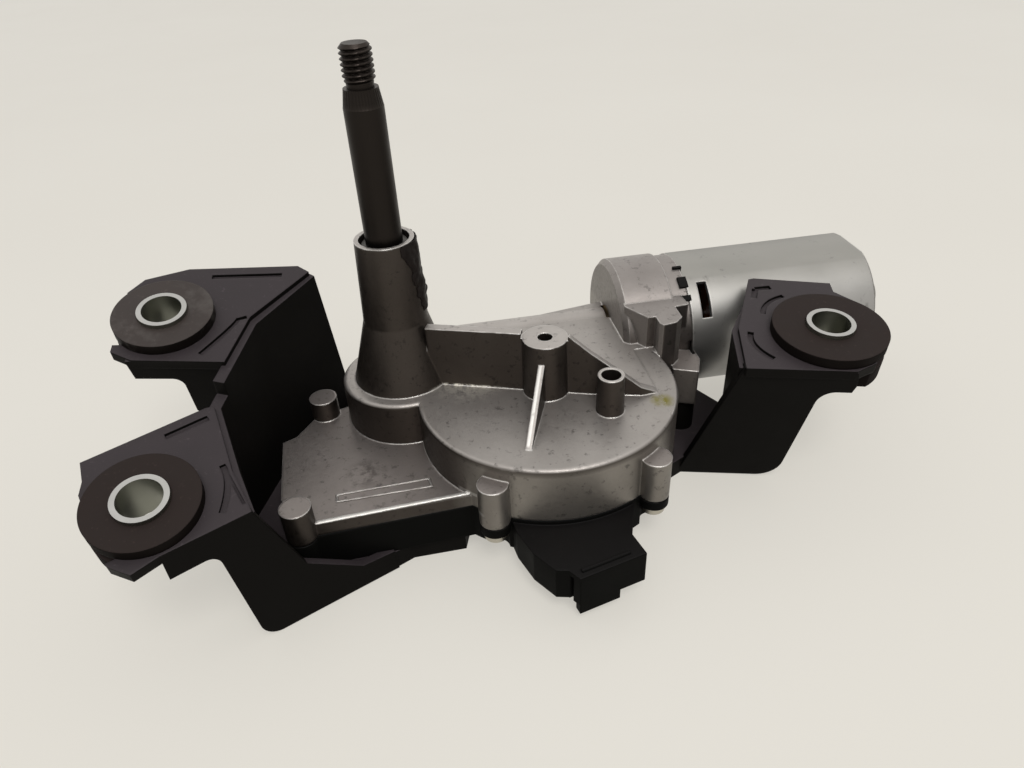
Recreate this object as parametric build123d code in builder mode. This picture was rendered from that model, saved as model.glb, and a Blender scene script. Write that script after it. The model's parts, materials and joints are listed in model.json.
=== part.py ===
"""Rear wiper motor: geared motor with a swinging output shaft, on a frame with three cushioned ears.

Millimetres. The origin is on the output shaft's axis, at the mouth of its tower. +Z points out along
the shaft, +X along the motor towards its closed end, and -Y towards the connector.
"""

from build123d import *
from math import atan2, cos, hypot, pi, radians, sin, sqrt
import os

# ---------------------------------------------------------------- output shaft and its tower
shaft_radius = 5.0
shaft_plain_top = 34.1
cone_height = 4.4
cone_top_radius = 4.3
thread_core_radius = 3.95
thread_top = 48.4
thread_chamfer = 1.0
tower_mouth_radius = 8.1
tower_waist_radius = 9.2
tower_waist_z = -24.0
tower_foot_radius = 14.5
tower_recess_radius = 6.9
tower_recess_depth = 3.4
bush_wall = 1.5
bush_length = 15.0
running_gap = 0.05

# ---------------------------------------------------------------- gear housing, seen from above
deck_z = -43.0
split_z = -60.0
casting_wall = 2.6
pedestal_radius = 18.25
chamber_centre = (40.0, -17.3)
chamber_gap = 0.6
plate_top_z = -56.5
plate_outline = [(-37.9, -9.5), (-36.6, -34.2), (-30.2, -46.2), (14.4, -43.6), (24.0, -20.0),
                 (8.0, 11.8), (-21.0, 3.8), (-28.6, 1.0), (-34.0, -7.5)]
plate_lip = (1.2, 0.7)
rear_left_x = 19.0
rear_left_y = 21.2
rear_bend = (32.5, 21.2)
rear_right_x = 66.0
boss_radius = 4.1
low_boss_top_z = -50.0
high_boss_top_z = -47.6
low_boss_places = [(-31.0, -45.0), (-25.5, 2.0)]
rim_boss_turns = [-122.8, -54.8]
rim_boss_reach = 1.7
right_boss_place = (85.3, -8.6)
screw_radius = 2.0
screw_bite = 7.0
screw_head_radius = 3.2
screw_head_height = 2.4
rib_thickness = 2.8
rib_places = [(8.0, -7.4), (26.9, -14.2), (51.3, -23.1), (64.7, -27.0), (70.0, -26.6)]
rib_heights = [-24.5, -24.5, -29.8, -40.4, -43.2]
stud_place = (39.5, -18.8)
stud_radius = 6.6
stud_top_z = -25.8
stud_hole_radius = 2.1
stud_hole_depth = 11.0
gusset_end = (29.4, -44.6)
gusset_thickness = 1.7
vent_place = (54.4, -32.6)
vent_radius = 3.9
vent_bore_radius = 2.7
vent_height = 11.5

# ---------------------------------------------------------------- gear train
tooth_module = 1.1
wheel_teeth = 60
wheel_face = 5.0
worm_pitch_radius = 3.8
worm_tip_radius = 4.8
worm_root_radius = 2.6
worm_turns = 7
armature_axis_z = -48.7
sweep_angle = 115.0
lever_radius = 14.2
crank_pin_radius = 2.5
wheel_axle_radius = 3.0
link_thickness = 2.2
link_eye_radius = 4.6
layer_gap = 0.6
open_pivot_gap = 0.35

# ---------------------------------------------------------------- motor
can_radius = 21.8
can_flat_z = -29.0
can_wall = 1.6
can_start_x = 90.0
can_length = 61.8
can_edge = 1.0
can_step = (14.5, 1.0)
can_slot = (3.4, 6.6)
can_slot_turns = (31, 62)
cup_radius = 8.5
cup_length = 9.5
cup_edge = 2.0
block_start_x = 68.0
block_radius = 22.3
block_step_x = 84.6
block_step = 0.9
block_edge = 1.6
tab_window_turns = [(25, 36), (36, 100)]
tab_window_depths = [2.9, 1.2]
ledge_z = -32.4
ledge_outline = [(69.6, 9.0), (68.9, 3.1), (76.8, -10.3), (81.0, -9.5), (83.5, -7.0), (83.6, -0.7),
                 (88.0, -0.2), (87.7, 9.0)]
lug_outline = [(82.0, 0.0), (86.0, -2.0), (90.2, -2.9), (90.1, -8.3), (87.3, -14.8), (80.3, -11.7)]
ledge_bottom_z = -52.0
tunnel_wall = 1.3
tunnel_gap = 0.4
armature_shaft_radius = 4.0
core_front_room = 17.0
core_rear_room = 14.8
core_slots = 8
air_gap = 0.7
magnet_seat_gap = 0.05
magnet_thickness = 4.6
magnet_half_angle = 52.0
commutator_radius = 8.0
commutator_length = 12.0
commutator_bars = 8

# ---------------------------------------------------------------- cover, connector, frame
gasket_thickness = 0.5
cover_bottom_z = -71.2
cover_floor = 2.2
cover_wall = 2.4
flange_thickness = 2.7
connector_turn = 14.3
connector_corner = (36.2, -72.9)
connector_top_z = -61.5
connector_height = 9.9
connector_outline = [(0, 0), (18.7, 0), (18.8, 7.0), (25.0, 16.2), (25.7, 19.1), (-6.7, 27.4), (-7.4, 21.1),
                     (-6.7, 12.5), (-4.1, 5.1), (-1.3, 3.6)]
socket_size = (14.5, 9.0, 8.0)
socket_wall = 2.4
latch_size = (11.5, 2.2, 13.0)
latch_groove = 1.2
terminal_size = (2.2, 0.8, 5.0)
terminal_pitch = 3.4
frame_wall = 3.0
leg_wall = 2.6
rest_z = -77.0
ear_thickness = 3.0
sleeve_outer_radius = 6.5
sleeve_bore_radius = 5.2
sleeve_stand = 1.2
grommet_lip = 3.0
grommet_neck_radius = 9.2

os.makedirs("parts", exist_ok=True)

# ---------------------------------------------------------------- sizes that follow from those above
pitch = pi * tooth_module
wheel_pitch_radius = wheel_teeth * tooth_module / 2
wheel_tip_radius = wheel_pitch_radius + 0.9 * tooth_module
wheel_root_radius = wheel_pitch_radius - 1.25 * tooth_module
armature_axis_y = chamber_centre[1] + wheel_pitch_radius + worm_pitch_radius
chamber_radius = wheel_tip_radius + chamber_gap + casting_wall
rim_boss_places = [(chamber_centre[0] + (chamber_radius + rim_boss_reach) * cos(radians(turn)),
                    chamber_centre[1] + (chamber_radius + rim_boss_reach) * sin(radians(turn)))
                   for turn in rim_boss_turns]
frame_screw_places = [*low_boss_places, right_boss_place]
core_length = can_length - core_front_room - core_rear_room
centre_gap = hypot(*chamber_centre)
swing_half = radians(sweep_angle / 2)
crank_radius = lever_radius * sin(swing_half)
centre_line_angle = atan2(chamber_centre[1], chamber_centre[0])
lever_angle = centre_line_angle - pi / 2 - swing_half
lever_pin_place = (lever_radius * cos(lever_angle), lever_radius * sin(lever_angle))
crank_angle = atan2(lever_pin_place[1] - chamber_centre[1], lever_pin_place[0] - chamber_centre[0])
crank_place = (chamber_centre[0] + crank_radius * cos(crank_angle),
               chamber_centre[1] + crank_radius * sin(crank_angle))
ceiling_z = deck_z - casting_wall
wheel_top_z = armature_axis_z + wheel_face / 2
wheel_bottom_z = armature_axis_z - wheel_face / 2
lever_top_z = split_z - gasket_thickness - layer_gap
lever_bottom_z = lever_top_z - link_thickness
link_top_z = lever_bottom_z - 2 * layer_gap
link_bottom_z = link_top_z - link_thickness
bush_outer_radius = shaft_radius + bush_wall
bush_bore_radius = shaft_radius + running_gap
hub_radius = bush_outer_radius + casting_wall
hub_bottom_z = split_z + 2.0
tunnel_bore_radius = worm_tip_radius + tunnel_gap
tunnel_radius = tunnel_bore_radius + tunnel_wall
tunnel_start_x = rear_left_x + tunnel_wall
can_end_x = can_start_x + can_length
cup_end_x = can_end_x + cup_length
can_inner_radius = can_radius - can_wall
magnet_outer = can_inner_radius - magnet_seat_gap
magnet_inner = magnet_outer - magnet_thickness
core_radius = magnet_inner - air_gap
rear_y = armature_axis_y + block_radius / 3
rear_outline = [(rear_left_x, 0), (rear_left_x, rear_left_y), rear_bend, (rear_right_x, rear_y),
                (block_start_x - 1, rear_y), (block_start_x - 1, 0)]
flange_bottom_z = split_z - gasket_thickness - flange_thickness
frame_top_z = cover_bottom_z
frame_floor_z = frame_top_z - frame_wall
motor_plane = Plane(origin=(0, armature_axis_y, armature_axis_z), x_dir=(0, -1, 0), z_dir=(1, 0, 0))
motor_profile = Plane(origin=(0, armature_axis_y, armature_axis_z), x_dir=(1, 0, 0), z_dir=(0, -1, 0))
motor_level = Plane.XY.offset(armature_axis_z)
motor_axis = Axis((0, armature_axis_y, armature_axis_z), (1, 0, 0))


def on_motor_axis(x):
    """The plane across the motor's axis at this x, its own x towards the gear chamber."""
    return motor_plane.offset(x)


def at(z):
    """The level plane at height z."""
    return Plane.XY.offset(z)


def export(piece, name):
    """Label a finished piece and write it as its own file."""
    piece.part.label = name
    export_step(piece.part, f"parts/{name}.step")


def footprint(inset):
    """Plan of the cover, added to the open sketch, each part of it moved in by the inset."""
    Circle(pedestal_radius - inset)
    with Locations(chamber_centre):
        Circle(chamber_radius - inset)
    for outline in (plate_outline, rear_outline):
        plan = Polygon(*outline, align=None, mode=Mode.PRIVATE)
        add(offset(plan, -inset, kind=Kind.INTERSECTION, mode=Mode.PRIVATE) if inset else plan)


# ---------------------------------------------------------------- gear housing
with BuildPart() as gear_housing:
    # deck, left plate and rear wall over the worm
    with BuildSketch(at(split_z)):
        Circle(pedestal_radius)
        with Locations(chamber_centre):
            Circle(chamber_radius)
        Polygon(*rear_outline, align=None)
        with Locations((block_start_x, rear_y / 2)):
            Rectangle(4, rear_y)
    extrude(amount=deck_z - split_z)
    fillet(gear_housing.faces().sort_by(Axis.Z)[-1].edges(), 1.2)
    with BuildSketch(at(split_z)):
        with BuildLine():
            Polyline(*plate_outline, close=True)
        make_face()
    extrude(amount=plate_top_z - split_z)
    # lip along the plate's front edge
    lip_width, lip_height = plate_lip
    front_left, front_right = Vector(*plate_outline[2]), Vector(*plate_outline[3])
    lip_inset = (front_right - front_left).normalized().rotate(Axis.Z, 90) * (lip_width / 2)
    with BuildSketch(at(plate_top_z)):
        with BuildLine():
            lip_line = Line(front_left + lip_inset + (1, 0), front_right + lip_inset - (1, 0))
        trace(lip_line.edges(), lip_width)
    extrude(amount=lip_height)
    # tower, with its hub carried down to the lower bush
    with BuildSketch(Plane.XZ):
        with BuildLine():
            Polyline((0, 0), (tower_mouth_radius, 0), (tower_waist_radius, tower_waist_z),
                     (tower_foot_radius, deck_z), (tower_foot_radius, deck_z - 1), (0, deck_z - 1),
                     close=True)
        make_face()
    revolve(axis=Axis.Z)
    # round block that carries the motor, its ledge and the tunnel over the worm
    with BuildSketch(motor_profile):
        with BuildLine():
            Polyline((block_start_x, 0), (block_start_x, block_radius - block_edge),
                     (block_start_x + block_edge, block_radius), (block_step_x, block_radius),
                     (block_step_x, block_radius - block_step), (can_start_x, block_radius - block_step),
                     (can_start_x, 0), close=True)
        make_face()
    revolve(axis=motor_axis)
    with BuildSketch(at(ledge_bottom_z)):
        with BuildLine():
            Polyline(*ledge_outline, close=True)
        make_face()
    extrude(amount=ledge_z - ledge_bottom_z)
    with BuildSketch(on_motor_axis(rear_left_x)):
        Circle(tunnel_radius)
    extrude(amount=block_start_x + 1 - rear_left_x)
    # gusset rib from the tower to the rim, standing on the deck
    with BuildSketch(at(deck_z - 0.5)):
        with BuildLine():
            spine = Polyline(*rib_places)
        trace(spine.edges(), rib_thickness)
    extrude(amount=rib_heights[0] - deck_z + 0.5)
    with BuildSketch(Plane.XZ.offset(60)):
        with BuildLine():
            Polyline((rib_places[2][0] - 6, rib_heights[1]), *[(p[0], h) for p, h in
                     list(zip(rib_places, rib_heights))[2:]], (rib_places[4][0] + 6, deck_z),
                     (rib_places[4][0] + 6, 0), (rib_places[2][0] - 6, 0), close=True)
        make_face()
    extrude(amount=-55, mode=Mode.SUBTRACT)
    # boss with a blind hole on the rib, its front gusset and the vent tube
    with BuildSketch(at(deck_z - 0.5)):
        with Locations(stud_place):
            Circle(stud_radius)
    extrude(amount=stud_top_z - deck_z + 0.5, taper=1.0)
    with BuildSketch(at(stud_top_z)):
        with Locations(stud_place):
            Circle(stud_radius)
    extrude(amount=-stud_top_z, mode=Mode.SUBTRACT)
    with BuildSketch(at(deck_z - 0.5)):
        with Locations(vent_place):
            Circle(vent_radius)
    extrude(amount=vent_height + 0.5, taper=1.5)
    gusset_way = Vector(gusset_end[0] - stud_place[0], gusset_end[1] - stud_place[1])
    gusset_plane = Plane(origin=(*stud_place, deck_z - 0.4), x_dir=gusset_way,
                         z_dir=gusset_way.rotate(Axis.Z, -90))
    with BuildSketch(gusset_plane):
        with BuildLine():
            Polyline((0, 0), (gusset_way.length, 0), (gusset_way.length, 0.6),
                     (0, stud_top_z - deck_z - 1.2), close=True)
        make_face()
    extrude(amount=gusset_thickness / 2, both=True)
    # screw bosses
    with BuildSketch(at(split_z)):
        with Locations(*low_boss_places):
            Circle(boss_radius)
    extrude(amount=low_boss_top_z - split_z)
    with BuildSketch(at(split_z)):
        with Locations(*rim_boss_places):
            Circle(boss_radius)
        Polygon(*lug_outline, align=None)
    extrude(amount=high_boss_top_z - split_z)
    # hollow of the chamber and of the pedestal round the hub
    with BuildSketch(at(split_z)):
        with Locations(chamber_centre):
            Circle(chamber_radius - casting_wall)
        Circle(pedestal_radius - casting_wall)
    extrude(amount=ceiling_z - split_z, mode=Mode.SUBTRACT)
    with BuildSketch(at(hub_bottom_z)):
        Circle(hub_radius)
    extrude(amount=deck_z - hub_bottom_z - 1)
    with BuildSketch(at(wheel_top_z - 1.5)):
        with Locations(chamber_centre):
            Circle(2.2 * wheel_axle_radius)
    extrude(amount=ceiling_z - wheel_top_z + 2)
    # shaft bore, bush seats and the recess in the mouth
    with BuildSketch(at(hub_bottom_z)):
        Circle(shaft_radius + 0.4)
    extrude(amount=-hub_bottom_z, mode=Mode.SUBTRACT)
    for seat_z in (hub_bottom_z, -tower_recess_depth - bush_length):
        with BuildSketch(at(seat_z)):
            Circle(bush_outer_radius)
        extrude(amount=bush_length, mode=Mode.SUBTRACT)
    with BuildSketch(at(-tower_recess_depth)):
        Circle(tower_recess_radius)
    extrude(amount=tower_recess_depth, mode=Mode.SUBTRACT)
    # wheel axle seat
    with BuildSketch(at(wheel_top_z - 2)):
        with Locations(chamber_centre):
            Circle(wheel_axle_radius)
    extrude(amount=ceiling_z - wheel_top_z + 3, mode=Mode.SUBTRACT)
    # worm tunnel, front bearing seat and brush room
    with BuildSketch(on_motor_axis(tunnel_start_x)):
        Circle(tunnel_bore_radius)
    extrude(amount=block_start_x - tunnel_start_x, mode=Mode.SUBTRACT)
    with BuildSketch(on_motor_axis(block_start_x - 1)):
        Circle(armature_shaft_radius + 3.0)
    extrude(amount=6, mode=Mode.SUBTRACT)
    with BuildSketch(on_motor_axis(block_start_x + 5)):
        Circle(can_radius - casting_wall)
    extrude(amount=can_start_x - block_start_x, mode=Mode.SUBTRACT)
    # windows for the can's tabs, in the end of the block
    for depth, (low, high) in zip(tab_window_depths, tab_window_turns):
        with BuildSketch(on_motor_axis(can_start_x - depth)):
            with BuildLine():
                outer = CenterArc((0, 0), can_radius + 3, 90 - low, low - high)
                inner = CenterArc((0, 0), can_radius - 2, 90 - low, low - high)
                Line(outer @ 0, inner @ 0)
                Line(outer @ 1, inner @ 1)
            make_face()
        extrude(amount=depth, mode=Mode.SUBTRACT)
    # stud hole, vent bore and screw holes
    with BuildSketch(at(stud_top_z - stud_hole_depth)):
        with Locations(stud_place):
            Circle(stud_hole_radius)
    extrude(amount=stud_hole_depth, mode=Mode.SUBTRACT)
    with BuildSketch(at(ceiling_z)):
        with Locations(vent_place):
            Circle(vent_bore_radius)
    extrude(amount=vent_height + casting_wall, mode=Mode.SUBTRACT)
    with BuildSketch(at(split_z)):
        with Locations(*low_boss_places, *rim_boss_places, right_boss_place):
            Circle(screw_radius)
    extrude(amount=screw_bite, mode=Mode.SUBTRACT)
export(gear_housing, "gear_housing")

# ---------------------------------------------------------------- cover under the housing, with its connector
connector_way = (cos(radians(connector_turn)), sin(radians(connector_turn)), 0)
connector_frame = Plane(origin=(*connector_corner, connector_top_z), x_dir=connector_way)
socket_centre = (socket_wall + socket_size[0] / 2, socket_wall + socket_size[1] / 2)
with BuildPart() as gear_cover:
    with BuildSketch(at(cover_bottom_z)):
        footprint(0)
        with Locations(*low_boss_places):
            Circle(boss_radius)
    extrude(amount=split_z - gasket_thickness - cover_bottom_z)
    with BuildSketch(at(flange_bottom_z)):
        with Locations(*rim_boss_places):
            Circle(boss_radius)
    extrude(amount=flange_thickness)
    # connector, its latch plate and the groove behind the plate
    with BuildSketch(connector_frame):
        Polygon(*connector_outline, align=None)
    extrude(amount=-connector_height)
    with BuildSketch(connector_frame):
        Rectangle(latch_size[0], latch_size[1], align=Align.MIN)
    extrude(amount=-latch_size[2])
    with BuildSketch(connector_frame.offset(-1.5)):
        with Locations((-latch_size[1], latch_size[1] + latch_groove / 2)):
            Rectangle(3 * latch_size[1], latch_groove)
    extrude(amount=-connector_height, mode=Mode.SUBTRACT)
    # hollow of the cover, which leaves a post round each screw, and the screw heads' pockets
    with BuildSketch(at(cover_bottom_z + cover_floor)):
        footprint(cover_wall)
        with Locations(*low_boss_places, *rim_boss_places):
            Circle(boss_radius + 1, mode=Mode.SUBTRACT)
    extrude(amount=split_z - cover_bottom_z, mode=Mode.SUBTRACT)
    with BuildSketch(at(cover_bottom_z)):
        with Locations(*rim_boss_places):
            Circle(screw_head_radius + 0.3)
    extrude(amount=flange_bottom_z - cover_bottom_z, mode=Mode.SUBTRACT)
    # socket, open downwards
    with BuildSketch(connector_frame.offset(-connector_height)):
        with Locations(socket_centre):
            Rectangle(socket_size[0], socket_size[1])
    extrude(amount=socket_size[2], mode=Mode.SUBTRACT)
    # room for the motor block beside the cover, and the screw holes
    with BuildSketch(on_motor_axis(block_start_x - 0.6)):
        Circle(block_radius + 0.6)
    extrude(amount=can_start_x - block_start_x, mode=Mode.SUBTRACT)
    with BuildSketch(at(cover_bottom_z)):
        with Locations(*low_boss_places, *rim_boss_places):
            Circle(screw_radius + 0.2)
    extrude(amount=split_z - cover_bottom_z, mode=Mode.SUBTRACT)
export(gear_cover, "gear_cover")

with BuildPart() as cover_gasket:
    with BuildSketch(at(split_z - gasket_thickness)):
        footprint(0)
    extrude(amount=gasket_thickness)
    with BuildSketch(at(split_z - gasket_thickness)):
        footprint(cover_wall - 0.6)
        with Locations(*low_boss_places, *rim_boss_places):
            Circle(screw_radius + 1.2, mode=Mode.SUBTRACT)
    extrude(amount=gasket_thickness, mode=Mode.SUBTRACT)
    with BuildSketch(on_motor_axis(block_start_x - 0.6)):
        Circle(block_radius + 0.6)
    extrude(amount=can_start_x - block_start_x, mode=Mode.SUBTRACT)
    with BuildSketch(at(split_z - gasket_thickness)):
        with Locations(*low_boss_places, *rim_boss_places):
            Circle(screw_radius + 0.2)
    extrude(amount=gasket_thickness, mode=Mode.SUBTRACT)
export(cover_gasket, "cover_gasket")

with BuildPart() as connector_terminals:
    with BuildSketch(connector_frame.offset(socket_size[2] - connector_height - terminal_size[2])):
        with Locations(socket_centre):
            with GridLocations(terminal_pitch, 1, 4, 1):
                Rectangle(terminal_size[0], terminal_size[1])
    extrude(amount=terminal_size[2])
export(connector_terminals, "connector_terminals")

# ---------------------------------------------------------------- screws, from below into the bosses
for name, places, seat_z in (("cover_screws", rim_boss_places, flange_bottom_z),
                             ("frame_screws", frame_screw_places, frame_floor_z)):
    with BuildPart() as screws:
        for place in places:
            with BuildSketch(at(seat_z - screw_head_height)):
                with Locations(place):
                    Circle(screw_head_radius)
            extrude(amount=screw_head_height)
            with BuildSketch(at(seat_z)):
                with Locations(place):
                    Circle(screw_radius - 0.05)
            extrude(amount=split_z + screw_bite - 1 - seat_z)
    export(screws, name)

# ---------------------------------------------------------------- shaft, bushes, seal and its lever
groove_z = (-2.3, -1.2)
groove_radius = shaft_radius - 0.6
lever_seat_radius = shaft_radius - 0.8
with BuildPart() as output_shaft:
    with BuildSketch(Plane.XZ):
        with BuildLine():
            Polyline((0, lever_bottom_z), (lever_seat_radius, lever_bottom_z),
                     (lever_seat_radius, lever_top_z), (shaft_radius, lever_top_z), (shaft_radius, groove_z[0]),
                     (groove_radius, groove_z[0]), (groove_radius, groove_z[1]), (shaft_radius, groove_z[1]),
                     (shaft_radius, shaft_plain_top),
                     (cone_top_radius, shaft_plain_top + cone_height),
                     (thread_core_radius, shaft_plain_top + cone_height),
                     (thread_core_radius, thread_top - thread_chamfer),
                     (thread_core_radius - thread_chamfer, thread_top), (0, thread_top), close=True)
        make_face()
    revolve(axis=Axis.Z)
export(output_shaft, "output_shaft")

for name, low_z in (("lower_bush", hub_bottom_z), ("upper_bush", -tower_recess_depth - bush_length)):
    with BuildPart() as bush:
        with BuildSketch(at(low_z)):
            Circle(bush_outer_radius)
            Circle(bush_bore_radius, mode=Mode.SUBTRACT)
        extrude(amount=bush_length)
    export(bush, name)

with BuildPart() as thrust_washer:
    with BuildSketch(at(-tower_recess_depth)):
        Circle(tower_recess_radius - 0.5)
        Circle(bush_bore_radius + 0.1, mode=Mode.SUBTRACT)
    extrude(amount=groove_z[0] + tower_recess_depth - 0.05)
export(thrust_washer, "thrust_washer")

with BuildPart() as shaft_circlip:
    with BuildSketch(at(groove_z[0])):
        Circle(shaft_radius + 1.1)
        Circle(groove_radius, mode=Mode.SUBTRACT)
        with Locations((0, shaft_radius)):
            Rectangle(3, 4, mode=Mode.SUBTRACT)
    extrude(amount=groove_z[1] - groove_z[0])
export(shaft_circlip, "shaft_circlip")

with BuildPart() as output_lever:
    with BuildSketch(at(lever_bottom_z)):
        with BuildLine():
            lever_line = Line((0, 0), lever_pin_place)
        trace(lever_line.edges(), 2 * (link_eye_radius - 0.6))
        Circle(shaft_radius + 3.4)
        with Locations(lever_pin_place):
            Circle(link_eye_radius)
        Circle(lever_seat_radius, mode=Mode.SUBTRACT)
        with Locations(lever_pin_place):
            Circle(crank_pin_radius, mode=Mode.SUBTRACT)
    extrude(amount=link_thickness)
export(output_lever, "output_lever")

with BuildPart() as lever_pin:
    with BuildSketch(at(link_top_z + open_pivot_gap)):
        with Locations(lever_pin_place):
            Circle(crank_pin_radius)
    extrude(amount=lever_top_z - link_top_z - open_pivot_gap)
export(lever_pin, "lever_pin")

# ---------------------------------------------------------------- worm wheel, its axle, crank pin and link
wheel_hub_radius = 9.0
wheel_rim = 4.5
axle_end_z = split_z
tooth_tip_half = 0.34
tooth_root_half = 0.95
with BuildPart() as worm_wheel:
    with BuildSketch(at(wheel_bottom_z)):
        with Locations(chamber_centre):
            Circle(wheel_root_radius)
    extrude(amount=wheel_face)
    tooth_plane = Plane(origin=(*chamber_centre, wheel_bottom_z), x_dir=(0, 1, 0), z_dir=(0, 0, 1))
    with BuildSketch(tooth_plane):
        with PolarLocations(0, wheel_teeth):
            with BuildLine():
                Polyline((wheel_root_radius - 0.5, -tooth_root_half), (wheel_root_radius, -tooth_root_half),
                         (wheel_tip_radius, -tooth_tip_half), (wheel_tip_radius, tooth_tip_half),
                         (wheel_root_radius, tooth_root_half), (wheel_root_radius - 0.5, tooth_root_half),
                         close=True)
            make_face()
    extrude(amount=wheel_face)
    with BuildSketch(at(wheel_bottom_z - 5)):
        with Locations(chamber_centre):
            Circle(wheel_hub_radius)
    extrude(amount=6)
    # dished underside and the room over the axle boss
    with BuildSketch(at(wheel_bottom_z)):
        with Locations(chamber_centre):
            Circle(wheel_root_radius - wheel_rim)
            Circle(wheel_hub_radius, mode=Mode.SUBTRACT)
    extrude(amount=1.4, mode=Mode.SUBTRACT)
    with BuildSketch(at(wheel_top_z - 1.9)):
        with Locations(chamber_centre):
            Circle(2.2 * wheel_axle_radius + 1.2)
    extrude(amount=3, mode=Mode.SUBTRACT)
    with BuildSketch(at(wheel_bottom_z - 5)):
        with Locations(chamber_centre):
            Circle(wheel_axle_radius + running_gap)
        with Locations(crank_place):
            Circle(crank_pin_radius)
    extrude(amount=10 + wheel_face, mode=Mode.SUBTRACT)
export(worm_wheel, "worm_wheel")

with BuildPart() as wheel_axle:
    with BuildSketch(at(axle_end_z)):
        with Locations(chamber_centre):
            Circle(wheel_axle_radius)
    extrude(amount=ceiling_z - axle_end_z + 0.4)
export(wheel_axle, "wheel_axle")

with BuildPart() as crank_pin:
    with BuildSketch(at(link_bottom_z - 0.8)):
        with Locations(crank_place):
            Circle(crank_pin_radius)
    extrude(amount=wheel_top_z - link_bottom_z + 0.8)
export(crank_pin, "crank_pin")

with BuildPart() as connecting_link:
    with BuildSketch(at(link_bottom_z)):
        with BuildLine():
            link_line = Line(crank_place, lever_pin_place)
        trace(link_line.edges(), 2 * (link_eye_radius - 1.2))
        with Locations(crank_place, lever_pin_place):
            Circle(link_eye_radius)
            Circle(crank_pin_radius + running_gap, mode=Mode.SUBTRACT)
    extrude(amount=link_thickness)
export(connecting_link, "connecting_link")

with BuildPart() as contact_disc:
    with BuildSketch(at(wheel_bottom_z - 0.5)):
        with Locations(chamber_centre):
            Circle(wheel_root_radius - 0.6)
            Circle(wheel_root_radius - wheel_rim + 0.4, mode=Mode.SUBTRACT)
    extrude(amount=0.5)
export(contact_disc, "contact_disc")

# ---------------------------------------------------------------- armature
worm_start_x = chamber_centre[0] + pitch / 2 - (worm_turns // 2 + 1) * pitch
worm_end_x = worm_start_x + worm_turns * pitch
thread_root_half = 0.85
thread_tip_half = 0.42
thread_path = on_motor_axis(worm_start_x).location * Helix(pitch, worm_turns * pitch, worm_root_radius)
thread_start = Plane(origin=thread_path @ 0, x_dir=(0, -1, 0), z_dir=thread_path % 0)
with BuildPart() as armature_shaft:
    with BuildSketch(on_motor_axis(tunnel_start_x + 2.2)):
        Circle(armature_shaft_radius)
    extrude(amount=worm_start_x - 1.5 - tunnel_start_x - 2.2)
    with BuildSketch(on_motor_axis(worm_start_x - 1.5)):
        Circle(worm_root_radius)
    extrude(amount=worm_end_x - worm_start_x + 3.0)
    with BuildSketch(on_motor_axis(worm_end_x + 1.5)):
        Circle(armature_shaft_radius)
    extrude(amount=cup_end_x - 2.5 - worm_end_x - 1.5)
    with BuildSketch(thread_start):
        with BuildLine():
            Polyline((-0.3, -thread_root_half), (0, -thread_root_half),
                     (worm_tip_radius - worm_root_radius, -thread_tip_half),
                     (worm_tip_radius - worm_root_radius, thread_tip_half), (0, thread_root_half),
                     (-0.3, thread_root_half), close=True)
        make_face()
    sweep(path=thread_path, is_frenet=True)
export(armature_shaft, "armature_shaft")

core_start_x = can_start_x + core_front_room
with BuildPart() as armature_core:
    with BuildSketch(on_motor_axis(core_start_x)):
        Circle(core_radius)
        with PolarLocations(core_radius - 3.4, core_slots):
            Circle(2.6, mode=Mode.SUBTRACT)
            with Locations((3, 0)):
                Rectangle(6, 1.8, mode=Mode.SUBTRACT)
        Circle(armature_shaft_radius, mode=Mode.SUBTRACT)
    extrude(amount=core_length)
export(armature_core, "armature_core")

winding_length = 6.0
with BuildPart() as windings:
    for start_x in (core_start_x - winding_length, core_start_x + core_length):
        with BuildSketch(on_motor_axis(start_x)):
            Circle(core_radius - 1.8)
            Circle(armature_shaft_radius + 0.3, mode=Mode.SUBTRACT)
        extrude(amount=winding_length)
    chamfer(windings.edges().filter_by(GeomType.CIRCLE).filter_by(lambda e: e.radius > core_radius - 2), 1.8)
export(windings, "windings")

commutator_start_x = block_start_x + 8.0
with BuildPart() as commutator:
    with BuildSketch(on_motor_axis(commutator_start_x)):
        Circle(commutator_radius)
        Circle(armature_shaft_radius, mode=Mode.SUBTRACT)
        with PolarLocations(commutator_radius, commutator_bars):
            Rectangle(1.2, 0.7, mode=Mode.SUBTRACT)
    extrude(amount=commutator_length)
    with BuildSketch(on_motor_axis(commutator_start_x + commutator_length)):
        Circle(commutator_radius + 1.6)
        Circle(armature_shaft_radius, mode=Mode.SUBTRACT)
    extrude(amount=1.6)
export(commutator, "commutator")

# ---------------------------------------------------------------- bearings, brushes, magnets and the can
bearing_length = 5.0
for name, start_x, outer in (("front_bearing", block_start_x, armature_shaft_radius + 3.0),
                             ("rear_bearing", can_end_x + 0.5, cup_radius - can_wall)):
    with BuildPart() as bearing:
        with BuildSketch(on_motor_axis(start_x)):
            Circle(outer)
            Circle(armature_shaft_radius + running_gap, mode=Mode.SUBTRACT)
        extrude(amount=bearing_length)
    export(bearing, name)

with BuildPart() as thrust_pad:
    with BuildSketch(on_motor_axis(tunnel_start_x)):
        Circle(tunnel_bore_radius)
    extrude(amount=1.9)
export(thrust_pad, "thrust_pad")

holder_x = commutator_start_x + 3.0
brush_size = (6.0, 4.5, 7.0)
with BuildPart() as brush_holder:
    with BuildSketch(on_motor_axis(holder_x)):
        Circle(can_radius - casting_wall)
        Circle(commutator_radius + 2.6, mode=Mode.SUBTRACT)
    extrude(amount=1.6)
    with BuildSketch(on_motor_axis(holder_x + 1.6)):
        with PolarLocations(commutator_radius + 2.6 + brush_size[2] / 2 - 0.6, 2):
            Rectangle(brush_size[2] - 1.2, brush_size[1] + 2)
            Rectangle(brush_size[2], brush_size[1], mode=Mode.SUBTRACT)
    extrude(amount=brush_size[0])
export(brush_holder, "brush_holder")

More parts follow.
